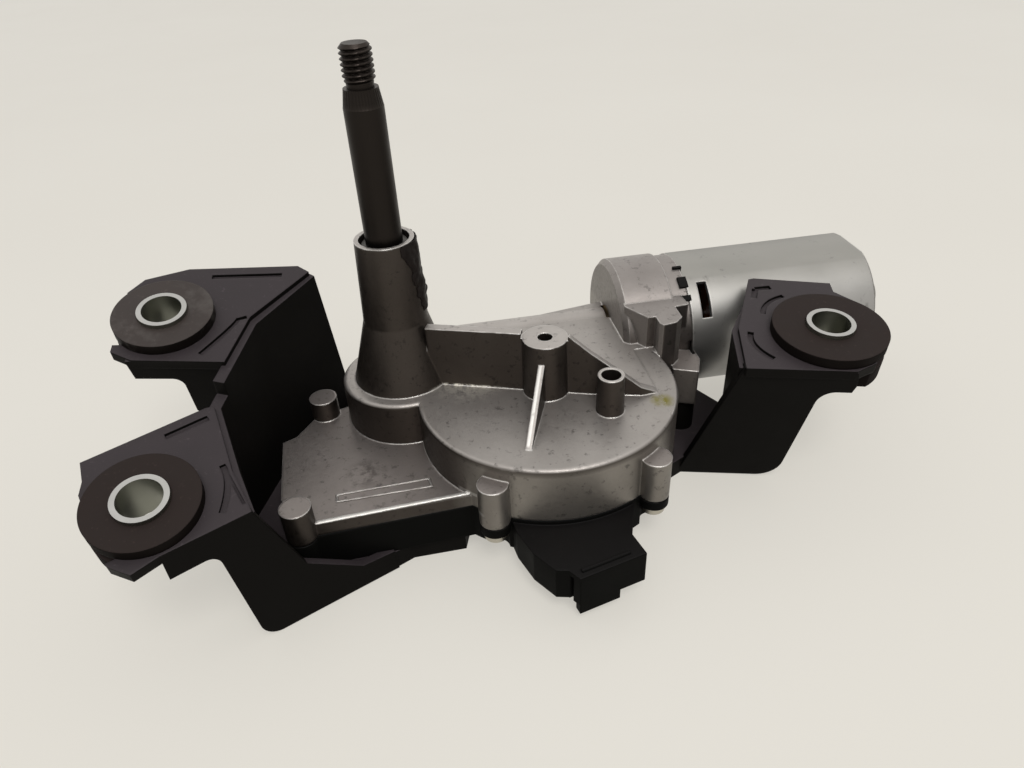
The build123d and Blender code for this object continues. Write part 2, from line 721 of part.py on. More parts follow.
with BuildPart() as brushes:
    with BuildSketch(on_motor_axis(holder_x + 1.6)):
        with PolarLocations(commutator_radius + 0.3 + brush_size[2] / 2, 2):
            Rectangle(brush_size[2], brush_size[1])
        Circle(commutator_radius + 0.3, mode=Mode.SUBTRACT)
    extrude(amount=brush_size[0] - 0.5)
export(brushes, "brushes")

magnet_span = 2 * magnet_half_angle
with BuildPart() as field_magnets:
    with BuildSketch(on_motor_axis(core_start_x - 1)):
        for side in (1, -1):
            magnet_start = 90 - 90 * side - magnet_half_angle
            with BuildLine():
                outer_arc = CenterArc((0, 0), magnet_outer, magnet_start, magnet_span)
                inner_arc = CenterArc((0, 0), magnet_inner, magnet_start, magnet_span)
                Line(outer_arc @ 0, inner_arc @ 0)
                Line(outer_arc @ 1, inner_arc @ 1)
            make_face()
    extrude(amount=core_length + 2)
export(field_magnets, "field_magnets")

flat_offset = can_flat_z - armature_axis_z
step_radius, step_height = can_step
with BuildPart() as motor_can:
    with BuildSketch(motor_profile):
        with BuildLine():
            Polyline((can_start_x, 0), (can_start_x, can_radius), (can_end_x - can_edge, can_radius),
                     (can_end_x, can_radius - can_edge), (can_end_x, step_radius),
                     (can_end_x + step_height, step_radius - step_height),
                     (can_end_x + step_height, cup_radius), (cup_end_x - cup_edge, cup_radius),
                     (cup_end_x, cup_radius - cup_edge), (cup_end_x, 0), close=True)
        make_face()
    revolve(axis=motor_axis)
    split(bisect_by=motor_level.offset(flat_offset), keep=Keep.BOTTOM)
    split(bisect_by=motor_level.offset(-flat_offset), keep=Keep.TOP)
    with BuildSketch(on_motor_axis(can_start_x)):
        Circle(can_inner_radius)
        Rectangle(4 * can_radius, 2 * (flat_offset - can_wall), mode=Mode.INTERSECT)
    extrude(amount=can_length - can_wall, mode=Mode.SUBTRACT)
    with BuildSketch(on_motor_axis(can_end_x - can_wall)):
        Circle(cup_radius - can_wall)
    extrude(amount=cup_length, mode=Mode.SUBTRACT)
    # slot in the can's wall behind its rim
    with BuildSketch(on_motor_axis(can_start_x + can_slot[0])):
        with BuildLine():
            slot_outer = CenterArc((0, 0), can_radius + 2, 90 - can_slot_turns[0],
                                   can_slot_turns[0] - can_slot_turns[1])
            slot_inner = CenterArc((0, 0), can_inner_radius - 2, 90 - can_slot_turns[0],
                                   can_slot_turns[0] - can_slot_turns[1])
            Line(slot_outer @ 0, slot_inner @ 0)
            Line(slot_outer @ 1, slot_inner @ 1)
        make_face()
    extrude(amount=can_slot[1] - can_slot[0], mode=Mode.SUBTRACT)
export(motor_can, "motor_can")

# ---------------------------------------------------------------- mounting frame: base, walls and three ears
# Each ear: the centre of its slot on the top face, its own x axis turned in plan, its upward normal,
# the side its slot opens to, its outline and the radius of its grommet's upper lip.
leaning = (0.068, -0.244, 0.967)
ears = {
    "left_front": ((-61.4, -52.6, -36.4), 26.0, leaning, -1,
                   [(-11.4, 11.3), (-9.7, 14.7), (-8.6, 20.5), (22.2, 21.2), (24, 20.5), (20.3, -0.8),
                    (19.7, -13.9), (-1.3, -13.9), (-7.9, -15), (-11.4, -10.3), (-12, -6)], 13.2),
    "left_rear": ((-62.3, 3.1, -18.3), -5.0, leaning, -1,
                  [(-12.6, 11.5), (-9, 17), (2.4, 21.5), (33.4, 22.6), (36.8, 19.9), (22.4, 0.7),
                   (18.1, -16.3), (-5.7, -15), (-11.6, -11.8)], 13.2),
    "right": ((117.8, -28.2, -31.0), -16.5, (0, -0.1, 0.995), 1,
              [(-18.3, 26.6), (-16.7, 27.3), (5.8, 26.1), (5.9, 21.6), (12.5, 15.5), (13.5, 11), (13.5, -6),
               (12.1, -7.6), (10.2, -12.1), (4.6, -15.9), (-24, -16.8), (-24.1, 1.2)], 15.5),
}
# Each wall that hangs from an ear's edge: the edge's place on the ear's y axis, the wall's foot, its outline
# along the edge and downwards, and the outline's corners that are rounded, with their radius.
hanging_walls = {
    "left_front": (-13.9, (-30.7, -56.8, rest_z),
                   [(-1.4, 0), (19.7, 0), (27, 22), (40, 32), (49.2, 33), (49.2, 39.1), (24.1, 38),
                    (11.6, 37.5), (9.3, 6.9), (-1.6, 7.1)], {7: 5.0, 8: 3.0}),
    "left_rear": (-15.0, None,
                  [(-7.4, 0.5), (18.1, 0.5), (23.5, 34), (21, 37), (6.1, 21), (5.4, 7.7), (-6.6, 7.2)],
                  {5: 3.0}),
    "right": (-16.0, (82.9, -26.7, -76),
              [(-24.1, 0.5), (5, 0.5), (5.9, 4.9), (5.1, 7.9), (-2.8, 8.1), (-7.4, 44.5), (-36.8, 46)],
              {4: 5.0, 5: 7.5}),
}
slot_gap = 0.1
lower_lip = 5.0
lip_clearance = 1.0
base_outline = [(-20, 25.6), (20, 26), (88, 26), (104, -6), (104, -16), (97, -27), (83, -24), (60, -36),
                (14, -34), (12.2, -38.6), (10.9, -42.8), (-3.7, -43.1), (-8.1, -45.3), (-30.7, -56),
                (-38.5, -58.8), (-42.8, -44.4), (-48.8, -23.7), (-45.7, -14.7), (-40, 2)]
rear_wall_line = [(-16, 30.3), (-40, 2), (-45.7, -14.7), (-47.2, -19.0)]
front_wall_line = [(-47.2, -19.0), (-48.8, -23.7), (-42.8, -44.4), (-38.2, -57.5)]
right_wall_line = [(104, -7.5), (95, -20), (90, -38)]
rear_wall_end = Plane(origin=(-24, 20.9, -17), z_dir=(25.4, 30, 4.4))


def ear_plane(ear):
    """The plane of an ear's top face, its origin in the slot's centre."""
    centre, turn, normal = (ears[ear][i] for i in range(3))
    normal = Vector(*normal).normalized()
    along = Vector(cos(radians(turn)), sin(radians(turn)), 0)
    return Plane(origin=centre, x_dir=along - normal * along.dot(normal), z_dir=normal)


def standing_wall(points, trim):
    """A wall of the frame along the points, from the base up to the trimming plane."""
    with BuildPart() as wall:
        with BuildSketch(at(frame_floor_z)):
            with BuildLine():
                run = Polyline(*points)
            trace(run.edges(), frame_wall)
        extrude(amount=70)
        split(bisect_by=trim, keep=Keep.BOTTOM)
    return wall.part


def hanging_plane(ear):
    """The plane of the wall under an ear's edge, its own x along the edge, its y downwards, its z inwards."""
    edge_y, foot = hanging_walls[ear][:2]
    top = ear_plane(ear)
    start = top.from_local_coords((0, edge_y, 0))
    down = Vector(*foot) - start if foot else -top.z_dir
    return Plane(origin=start, x_dir=top.x_dir, z_dir=top.x_dir.cross(down))


rear_wall = standing_wall(rear_wall_line, ear_plane("left_rear").offset(-ear_thickness / 2))
front_wall = standing_wall(front_wall_line, ear_plane("left_front").offset(-ear_thickness / 2))
right_wall = standing_wall(right_wall_line, ear_plane("right").offset(-ear_thickness / 2))
rear_wall = split(rear_wall, bisect_by=rear_wall_end, keep=Keep.BOTTOM)
right_wall = split(right_wall, bisect_by=hanging_plane("right").offset(1), keep=Keep.TOP)
front_wall = split(front_wall, bisect_by=hanging_plane("left_front").offset(1), keep=Keep.TOP)

with BuildPart() as mount_frame:
    with BuildSketch(at(frame_floor_z)):
        Polygon(*base_outline, align=None)
    extrude(amount=frame_wall)
    with BuildSketch(at(rest_z)):
        base = Polygon(*base_outline, align=None)
        offset(base, -frame_wall, kind=Kind.INTERSECTION, mode=Mode.SUBTRACT)
    extrude(amount=frame_floor_z - rest_z + 0.5)
    add([rear_wall, front_wall, right_wall])
    # spacer under the housing's right boss, and the holes for the three screws
    with BuildSketch(at(frame_floor_z)):
        with Locations(right_boss_place):
            Circle(boss_radius)
    extrude(amount=split_z - frame_floor_z)
    with BuildSketch(at(frame_floor_z)):
        with Locations(*frame_screw_places):
            Circle(screw_radius + 0.2)
    extrude(amount=split_z - frame_floor_z, mode=Mode.SUBTRACT)
    # walls under the ears' front edges
    for ear, (_, _, outline, rounded) in hanging_walls.items():
        with BuildSketch(hanging_plane(ear)) as wall_face:
            Polygon(*outline, align=None)
            for corner, radius in rounded.items():
                fillet(wall_face.vertices().sort_by_distance(outline[corner])[0], radius)
        extrude(amount=leg_wall)
    # ears, open slots for their grommets
    for ear, (_, _, _, side, outline, _) in ears.items():
        with BuildSketch(ear_plane(ear)):
            Polygon(*outline, align=None)
            Circle(grommet_neck_radius + slot_gap, mode=Mode.SUBTRACT)
            with Locations((20 * side, 0)):
                Rectangle(40, 2 * (grommet_neck_radius + slot_gap), mode=Mode.SUBTRACT)
        extrude(amount=-ear_thickness)
export(mount_frame, "mount_frame")

for ear, (_, _, _, _, _, lip_radius) in ears.items():
    with BuildPart() as grommet:
        with BuildSketch(ear_plane(ear)):
            Circle(lip_radius)
        extrude(amount=grommet_lip)
        with BuildSketch(ear_plane(ear)):
            Circle(grommet_neck_radius)
        extrude(amount=-ear_thickness)
        with BuildSketch(ear_plane(ear).offset(-ear_thickness)):
            Circle(lip_radius)
            with Locations((0, hanging_walls[ear][0] + leg_wall + lip_clearance - lip_radius)):
                Rectangle(2 * lip_radius, 2 * lip_radius, mode=Mode.SUBTRACT)
        extrude(amount=-lower_lip)
        with BuildSketch(ear_plane(ear).offset(grommet_lip)):
            Circle(sleeve_outer_radius)
        extrude(amount=-grommet_lip - ear_thickness - lower_lip, mode=Mode.SUBTRACT)
    export(grommet, f"{ear}_grommet")
    with BuildPart() as sleeve:
        with BuildSketch(ear_plane(ear).offset(grommet_lip + sleeve_stand)):
            Circle(sleeve_outer_radius)
            Circle(sleeve_bore_radius, mode=Mode.SUBTRACT)
        extrude(amount=-grommet_lip - ear_thickness - lower_lip - 2 * sleeve_stand)
    export(sleeve, f"{ear}_sleeve")
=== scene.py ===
"""Looks of a rear wiper motor: materials for every solid, and small details that the solids leave out.

The axes are the frame's own: +Z up the output shaft, +X along the motor, -Y towards the connector.
Places and sizes on the motor are written in millimetres, which MM turns into the frame's metres.
The table, the lamp and the texture scales are written in metres.
"""

import json
import math
from functools import partial

import bmesh
import bpy
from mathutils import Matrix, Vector, noise


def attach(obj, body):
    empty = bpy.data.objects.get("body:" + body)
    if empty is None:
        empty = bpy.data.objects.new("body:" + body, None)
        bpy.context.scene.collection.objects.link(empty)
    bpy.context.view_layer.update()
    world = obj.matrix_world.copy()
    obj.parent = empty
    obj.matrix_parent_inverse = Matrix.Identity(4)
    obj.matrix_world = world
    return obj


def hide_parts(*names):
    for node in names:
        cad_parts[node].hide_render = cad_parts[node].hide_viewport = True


MM = 0.001
UP, TOWARDS_TOWER, TOWARDS_CAN_END = (0.0, 0.0, 1.0), (-1.0, 0.0, 0.0), (1.0, 0.0, 0.0)
BEVEL_SAMPLES = 6
SHARP_DEGREES = 32

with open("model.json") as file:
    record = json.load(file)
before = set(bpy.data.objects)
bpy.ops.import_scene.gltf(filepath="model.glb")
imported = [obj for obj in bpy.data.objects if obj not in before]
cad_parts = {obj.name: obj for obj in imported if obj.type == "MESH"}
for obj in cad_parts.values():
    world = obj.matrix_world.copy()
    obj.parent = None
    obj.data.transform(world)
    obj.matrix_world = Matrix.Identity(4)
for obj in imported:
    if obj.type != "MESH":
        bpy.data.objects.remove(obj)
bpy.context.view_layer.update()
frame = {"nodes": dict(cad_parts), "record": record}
nodes = frame["nodes"]


def lerp(ends, share):
    """The value at this share of the way from the first end to the second."""
    return ends[0] + (ends[1] - ends[0]) * share


def times(colour, factor):
    """The same colour, lighter or darker."""
    return tuple(factor * level for level in colour)


# ------------------------------------------------ node trees
class Tree:
    """A node tree, with short calls for the nodes that the recipes below repeat."""

    def __init__(self, tree):
        self.nodes = tree.nodes
        self.links = tree.links

    def add(self, kind, **settings):
        """A new node of this kind, with its settings."""
        node = self.nodes.new("ShaderNode" + kind)
        for name, value in settings.items():
            setattr(node, name, value)
        return node

    def feed(self, socket, value):
        """Links another node's output to this socket, or sets its colour, vector or number."""
        if isinstance(value, bpy.types.NodeSocket):
            self.links.new(value, socket)
        elif socket.type == "RGBA":
            socket.default_value = (*value, 1.0)
        else:
            socket.default_value = value

    def math(self, operation, first, second):
        """Two numbers put together, with the result kept between 0 and 1."""
        node = self.add("Math", operation=operation, use_clamp=True)
        self.feed(node.inputs[0], first)
        self.feed(node.inputs[1], second)
        return node.outputs[0]

    def vector(self, operation, first, second):
        """Two vectors put together: a number for a dot product or a distance, and otherwise a vector."""
        node = self.add("VectorMath", operation=operation)
        self.feed(node.inputs[0], first)
        self.feed(node.inputs[1], second)
        return node.outputs["Value" if operation in ("DOT_PRODUCT", "DISTANCE") else "Vector"]

    def part(self, vector, axis):
        """A vector's X, Y or Z."""
        split = self.add("SeparateXYZ")
        self.feed(split.inputs[0], vector)
        return split.outputs[axis]

    def between(self, value, low, high):
        """0 at low and beyond, 1 at high and beyond; low may be the larger."""
        node = self.add("MapRange")
        self.feed(node.inputs["Value"], value)
        self.feed(node.inputs["From Min"], low)
        self.feed(node.inputs["From Max"], high)
        return node.outputs["Result"]

    def all_of(self, first, *others):
        """The product of several masks."""
        for other in others:
            first = self.math("MULTIPLY", first, other)
        return first

    def mix(self, factor, first, second, how="MIX"):
        node = self.add("Mix", data_type="RGBA", blend_type=how)
        for index, value in ((0, factor), (6, first), (7, second)):
            self.feed(node.inputs[index], value)
        return node.outputs[2]

    def ramp(self, value, *stops):
        """A colour for each value, from two stops that each hold a place and a colour."""
        node = self.add("ValToRGB")
        for element, (place, colour) in zip(node.color_ramp.elements, stops):
            element.position = place
            element.color = (*colour, 1.0)
        self.feed(node.inputs["Fac"], value)
        return node.outputs["Color"]

    def grey(self, value, *stops):
        return self.ramp(value, *((place, (level, level, level)) for place, level in stops))

    def seen_directly(self):
        """1 for the rays by which the eye, metal and glass see the background."""
        rays = self.add("LightPath").outputs
        seen = rays["Is Camera Ray"]
        for kind in ("Is Glossy Ray", "Is Transmission Ray"):
            seen = self.math("MAXIMUM", seen, rays[kind])
        return seen

    def blend(self, share, first, second, output):
        """Gives an output node the second shader at this share, and the first one for the rest."""
        node = self.add("MixShader")
        for socket, value in zip(node.inputs, (share, first.outputs[0], second.outputs[0])):
            self.feed(socket, value)
        self.feed(output.inputs["Surface"], node.outputs[0])


class Shader(Tree):
    """A new material's node tree. Places, distances and radii in its calls are in millimetres."""

    def __init__(self, name):
        self.material = bpy.data.materials.new(name)
        self.material.use_nodes = True
        super().__init__(self.material.node_tree)
        self.bsdf = self.nodes["Principled BSDF"]
        self.coords = self.add("TexCoord").outputs["Object"]

    def put(self, name, value):
        self.feed(self.bsdf.inputs[name], value)

    def noise(self, scale, detail=4.0, roughness=0.6, stretch=None):
        node = self.add("TexNoise")
        self.feed(node.inputs["Scale"], scale)
        self.feed(node.inputs["Detail"], detail)
        self.feed(node.inputs["Roughness"], roughness)
        place = self.vector("MULTIPLY", self.coords, stretch) if stretch else self.coords
        self.feed(node.inputs["Vector"], place)
        return node.outputs["Fac"]

    def patches(self, low, high, scale, detail=4.0, roughness=0.6):
        """1 in the patches where a noise is over high, 0 where it is under low."""
        return self.between(self.noise(scale, detail, roughness), low, high)

    def inside(self, *sides):
        """1 in a region; each side is an axis, the place where the mask is 0 and where it is 1."""
        masks = []
        for axis, zero, one in sides:
            masks.append(self.between(self.part(self.coords, axis), zero * MM, one * MM))
        return self.all_of(*masks)

    def near(self, centre, radius):
        """1 about the centre, falling to 0 outside a ball of this radius."""
        distance = self.vector("DISTANCE", self.coords, Vector(centre) * MM)
        return self.between(distance, 1.5 * radius * MM, 0.5 * radius * MM)

    def stripe(self, across, middle, half):
        """1 in a stripe: the places whose distance along this direction is within half of middle."""
        place = self.vector("DOT_PRODUCT", self.coords, across)
        sides = [(middle + 1.3 * side, middle + 0.7 * side) for side in (-half, half)]
        return self.all_of(*(self.between(place, zero * MM, one * MM) for zero, one in sides))

    def normal(self):
        return self.add("NewGeometry").outputs["Normal"]

    def facing(self, direction, low, high):
        """1 on faces that look in this direction."""
        return self.between(self.vector("DOT_PRODUCT", self.normal(), direction), low, high)

    def rounded(self, radius):
        """A normal that rounds the edges off."""
        bevel = self.add("Bevel", samples=BEVEL_SAMPLES)
        self.feed(bevel.inputs["Radius"], radius * MM)
        return bevel.outputs[0]

    def worn_and_highlit_edges(self, radius):
        """1 along edges and corners that look up, 0 on flats and on edges that hang: the edges that take
        wear and painted highlights.
        """
        normal = self.rounded(radius)
        turned = self.between(self.vector("DOT_PRODUCT", normal, self.normal()), 0.99, 0.88)
        upward = self.between(self.part(normal, "Z"), 0.25, 0.6)
        return self.math("MULTIPLY", turned, upward)

    def roughen(self, pattern, smooth, rough, smooth_at=0.3, rough_at=0.7):
        """A roughness that follows a noise."""
        self.put("Roughness", self.grey(pattern, (smooth_at, smooth), (rough_at, rough)))

    def bump(self, height, strength, distance, rounding=None):
        """Relief from a noise, on top of edges that are rounded off where rounding is given."""
        node = self.add("Bump")
        if rounding:
            self.feed(node.inputs["Normal"], self.rounded(rounding))
        self.feed(node.inputs["Strength"], strength)
        self.feed(node.inputs["Distance"], distance * MM)
        self.feed(node.inputs["Height"], height)
        self.put("Normal", node.outputs["Normal"])


# ------------------------------------------------ the casting's places and colours
DECK_Z, PLATE_Z = -43.0, -56.5

# Sides of regions: an axis, then where the mask is 0 and where it is 1.
DECK = ("Z", DECK_Z - 1.5, DECK_Z - 0.5)
RAISED = ("Z", DECK_Z + 0.2, DECK_Z + 0.6)
UNDER_RAISED = ("Z", DECK_Z + 0.8, DECK_Z + 0.3)
CHAMBER_WALL = (("X", 8.0, 20.0), ("Z", DECK_Z - 0.5, DECK_Z - 2.5))
BLOCK = ("X", 64.0, 70.0)
BLOCK_TOP = (BLOCK, ("Z", -42.5, -38.0))
# The plate's lip and the gusset's crest take painted highlights.
PLATE_LIP = (
    ("X", -26.8, -26.2), ("X", 16.0, 15.0), ("Y", -40.0, -40.5),
    ("Z", PLATE_Z + 0.25, PLATE_Z + 0.4), ("Z", PLATE_Z + 1.5, PLATE_Z + 1.2),
)
GUSSET = (("X", 28.5, 29.0), ("X", 38.5, 38.0), ("Y", -24.5, -25.0), ("Z", -42.6, -42.2))
GUSSET_ACROSS, GUSSET_MIDDLE, GUSSET_HALF = (0.931, -0.365, 0.0), 43.4, 0.42

# The darker and the lighter of the two colours that each part of the casting mottles between. The top
# colours hold painted light and the wall colours painted shade.
CASTING = {
    "plate": ((0.228, 0.203, 0.192), (0.382, 0.348, 0.333)),
    "deck": ((0.328, 0.305, 0.289), (0.514, 0.487, 0.467)),
    "raised": ((0.410, 0.382, 0.365), (0.570, 0.541, 0.519)),
    "wall": ((0.036, 0.029, 0.024), (0.061, 0.051, 0.044)),
    "chamber_wall": ((0.17, 0.155, 0.138), (0.28, 0.26, 0.235)),
    "block_wall": ((0.075, 0.064, 0.058), (0.125, 0.110, 0.102)),
    "block_lit_front": ((0.22, 0.20, 0.19), (0.32, 0.30, 0.28)),
    "block_top": ((0.259, 0.238, 0.228), (0.412, 0.383, 0.369)),
}
# Bright metal at worn edges, and painted highlights.
BARE_METAL_AND_HIGHLIGHT = (0.90, 0.885, 0.86)

# Marks on the casting: the middle, the radius and the colour of each.
SMUDGE_PLACE, SMUDGE_R, SMUDGE = (-14.0, -28.5, PLATE_Z), 4.5, (0.05, 0.042, 0.037)
CRUST_PLACE, CRUST_R, CRUST = (18.5, -8.5, DECK_Z), 9.0, (0.78, 0.75, 0.68)
STAIN_PLACE, STAIN_R, STAIN = (69.5, -31.7, DECK_Z), 2.6, (0.24, 0.215, 0.055)


# ------------------------------------------------ materials
def casting_colour(shader):
    """The casting's colour by place, with painted light on faces that look up and painted shade on its
    walls, without its marks.
    """
    broad = shader.noise(60.0)
    tone = {place: shader.mix(broad, *pair) for place, pair in CASTING.items()}
    lit_top = shader.mix(shader.inside(DECK), tone["plate"], tone["deck"])
    lit_top = shader.mix(shader.inside(RAISED), lit_top, tone["raised"])
    lit_top = shader.mix(shader.inside(*BLOCK_TOP), lit_top, tone["block_top"])
    # Walls in painted shade, lighter on the chamber's wall.
    wall = shader.mix(shader.inside(*CHAMBER_WALL), tone["wall"], tone["chamber_wall"])
    # The block's face towards the tower in painted light, its other walls in painted shade.
    block_wall = shader.mix(shader.facing(TOWARDS_TOWER, 0.3, 0.8), tone["block_wall"], tone["block_lit_front"])
    wall = shader.mix(shader.inside(BLOCK), wall, block_wall)
    # Painted light on faces that look up, painted shade on the rest.
    return shader.mix(shader.facing(UP, 0.32, 0.9), wall, lit_top)


def casting_wear_and_highlights(shader):
    """Where the casting is bright from wear and from painted highlights: edges that look up, the plate's lip
    and the gusset's crest.
    """
    lip = shader.all_of(shader.inside(*PLATE_LIP), shader.facing(UP, -0.2, 0.5))
    crest = shader.stripe(GUSSET_ACROSS, GUSSET_MIDDLE, GUSSET_HALF)
    gusset = shader.all_of(shader.inside(*GUSSET), shader.facing(UP, 0.1, 0.5), crest)
    wear_and_highlight = shader.all_of(shader.worn_and_highlit_edges(0.55), shader.patches(0.22, 0.60, 260.0, 3.0), 0.9)
    for mask in (lip, gusset):
        wear_and_highlight = shader.math("MAXIMUM", wear_and_highlight, shader.all_of(mask, shader.patches(0.15, 0.40, 350.0, 3.0)))
    return wear_and_highlight


def cast_aluminium():
    """Die-cast housing: dull and speckled, lighter on top with painted light, dark brown on its walls with
    painted shade, bright at edges from wear and painted highlights.
    """
    shader = Shader("cast_aluminium")
    specks = shader.grey(shader.noise(420.0, 3.0, 0.75), (0.30, 0.45), (0.42, 1.0))
    colour = shader.mix(0.8, casting_colour(shader), specks, "MULTIPLY")
    smears = shader.patches(0.45, 0.62, 350.0, 4.0, 0.7)
    colour = shader.mix(shader.all_of(shader.near(SMUDGE_PLACE, SMUDGE_R), smears, 0.6), colour, SMUDGE)
    crumbs = shader.all_of(shader.inside(UNDER_RAISED), shader.patches(0.42, 0.54, 500.0, 4.0, 0.8))
    colour = shader.mix(shader.all_of(shader.near(CRUST_PLACE, CRUST_R), crumbs), colour, CRUST)
    spots = shader.patches(0.35, 0.55, 300.0, 3.0)
    colour = shader.mix(shader.all_of(shader.near(STAIN_PLACE, STAIN_R), spots), colour, STAIN)
    # Painted highlights and wear: bright metal along edges that look up, the lip and the crest.
    shader.put("Base Color", shader.mix(casting_wear_and_highlights(shader), colour, BARE_METAL_AND_HIGHLIGHT))
    shader.put("Metallic", 0.8)
    fine = shader.noise(900.0, 5.0, 0.7)
    shader.roughen(fine, 0.34, 0.50)
    shader.bump(fine, 0.35, 0.12, rounding=0.9)
    return shader.material


def plain_metal(name, colour, roughness, grain=0.0, wall=None):
    """Turned, drawn or plated metal, slightly mottled; where a wall colour is given, faces that stand
    upright take it as painted shade.
    """
    shader = Shader(name)
    broad = shader.noise(180.0)
    base = shader.mix(broad, times(colour, 0.8), colour)
    if wall:
        # Painted shade on faces that stand upright.
        base = shader.mix(shader.facing(UP, 0.15, 0.85), shader.mix(broad, times(wall, 0.8), wall), base)
    shader.put("Base Color", base)
    shader.put("Metallic", 1.0)
    shader.roughen(broad, roughness - 0.06, roughness + 0.08)
    if grain:
        shader.bump(shader.noise(1500.0, 3.0), grain, 0.05)
    return shader.material


# The can: two colours to mottle its sides and its top with, set apart by painted light, then the painted
# shade of its far end and the colour of its rubbed edges with painted highlights.
CAN_SIDES_AS_LIT = ((0.288, 0.284, 0.272), (0.448, 0.440, 0.432))
CAN_TOP_AS_LIT = ((0.330, 0.327, 0.308), (0.462, 0.451, 0.429))
CAN_SHADED_END, CAN_EDGE_HIGHLIGHT = (0.112, 0.104, 0.098), (0.82, 0.81, 0.79)


def drawn_can():
    """The plated steel can: silvery, a little cloudy, with dark rubs and fine lines from the press; painted
    light sets its top apart from its sides, its far end is in painted shade and its edges take painted
    highlights.
    """
    shader = Shader("plated_can")
    cloud = shader.noise(45.0, 4.0, 0.55)
    sides, lit_top = shader.mix(cloud, *CAN_SIDES_AS_LIT), shader.mix(cloud, *CAN_TOP_AS_LIT)
    # Top and sides coloured apart: painted light.
    base = shader.mix(shader.facing(UP, 0.6, 0.97), sides, lit_top)
    # The far end in painted shade.
    base = shader.mix(shader.facing(TOWARDS_CAN_END, 0.4, 0.8), base, CAN_SHADED_END)
    rubs = shader.grey(shader.noise(220.0, 5.0, 0.75), (0.30, 0.55), (0.40, 1.0))
    base = shader.mix(0.7, base, rubs, "MULTIPLY")
    # Painted highlights and wear along edges that look up.
    shader.put("Base Color", shader.mix(shader.worn_and_highlit_edges(0.5), base, CAN_EDGE_HIGHLIGHT))
    shader.put("Metallic", 0.9)
    shader.roughen(cloud, 0.36, 0.5)
    shader.bump(shader.noise(900.0, 3.0, stretch=(0.06, 1.0, 1.0)), 0.25, 0.06, rounding=0.6)
    return shader.material


def plain_dull(name, colour, roughness):
    """Fired, pressed or lacquered material with a fine grain."""
    shader = Shader(name)
    broad = shader.noise(90.0)
    shader.put("Base Color", shader.mix(broad, colour, times(colour, 1.35)))
    shader.roughen(broad, roughness - 0.08, roughness + 0.08)
    shader.bump(shader.noise(1200.0), 0.15, 0.08)
    return shader.material


SCUFF = (0.12, 0.11, 0.10)


def dusty_black(name, lit_top, side, roughness, sheen, scuffs=0.0):
    """Black nylon or rubber: grey where it looks up from dust and painted light, near black at its sides in
    painted shade, rubbed at its edges with painted highlights.
    """
    shader = Shader(name)
    broad = shader.noise(70.0)
    up = shader.facing(UP, 0.45, 0.9)
    # The side colour is painted shade, the top colour painted light with dust.
    colour = shader.mix(up, side, shader.mix(broad, times(lit_top, 0.75), times(lit_top, 1.25)))
    specks = shader.all_of(shader.patches(0.62, 0.72, 700.0, 3.0, 0.7), 0.35, up)
    colour = shader.mix(specks, colour, times(lit_top, 2.6))
    if scuffs:
        scuffed = shader.math("MULTIPLY", shader.patches(0.52, 0.72, 55.0, 5.0, 0.7), scuffs)
        colour = shader.mix(scuffed, colour, SCUFF)
    # Wear and painted highlights on edges that look up.
    rubbed_and_highlit = shader.math("MULTIPLY", shader.worn_and_highlit_edges(0.5), 0.15)
    shader.put("Base Color", shader.mix(rubbed_and_highlit, colour, times(lit_top, 2.2)))
    shader.put("IOR", 1.22)
    shine = shader.math("ADD", shader.math("MULTIPLY", up, 0.8), 0.2)
    shader.put("Specular IOR Level", shader.math("MULTIPLY", shine, sheen))
    shader.roughen(broad, roughness - 0.08, roughness + 0.08)
    shader.bump(shader.noise(1100.0, 4.0, 0.65), 0.2, 0.08, rounding=0.7)
    return shader.material


def dark_grease():
    """Dark, half-dried grease with dust in it."""
    shader = Shader("dark_grease")
    lumps = shader.noise(450.0, 4.0, 0.65)
    shader.put("Base Color", shader.mix(lumps, (0.003, 0.002, 0.0018), (0.012, 0.008, 0.0065)))
    shader.put("IOR", 1.25)
    shader.roughen(lumps, 0.4, 0.65, smooth_at=0.35, rough_at=0.65)
    shader.bump(lumps, 0.5, 0.2)
    return shader.material


